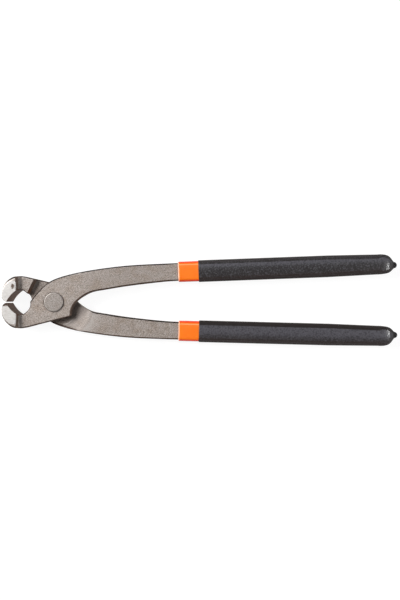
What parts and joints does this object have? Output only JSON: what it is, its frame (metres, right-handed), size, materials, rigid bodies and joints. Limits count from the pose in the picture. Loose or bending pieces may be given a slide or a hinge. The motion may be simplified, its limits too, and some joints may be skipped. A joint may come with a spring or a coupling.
{
  "type": "rebar tying pliers",
  "caption": "End-cutting pincers for twisting and snipping tie wire: wide curved jaws, long slim handles crossed on a rivet, dipped grips.",
  "frame": {"origin": "under the middle of the tool's outline, on the plane of the lower jaw cheeks; the rivet axis is at x = -104.1 mm, y = 0", "axes": "+X from the jaws to the handle ends, +Z along the rivet towards the front half, +Y towards the front half's handle"},
  "size_m": [0.28, 0.0652, 0.022],
  "materials": {
    "forged_steel": "sandblasted drop-forged steel, satin grey-brown, with bright ground jaw cheeks",
    "rivet_steel": "satin steel, rounded rim",
    "orange_dip": "glossy dipped PVC",
    "black_dip": "dipped PVC with fine grain and a soft sheen"
  },
  "bodies": {
    "rear_half": {"rear_jaw_arm": "forged_steel", "rivet": "rivet_steel", "rear_inner_sleeve": "orange_dip", "rear_grip": "black_dip"},
    "front_half": {"front_jaw_arm": "forged_steel", "front_inner_sleeve": "orange_dip", "front_grip": "black_dip"}
  },
  "joints": [
    {"name": "pivot", "type": "hinge", "parent": "rear_half", "child": "front_half", "pos_m": [-0.1041, 0, 0.011], "axis": [0, 0, 1], "range_deg": [-1.1, 38]}
  ]
}
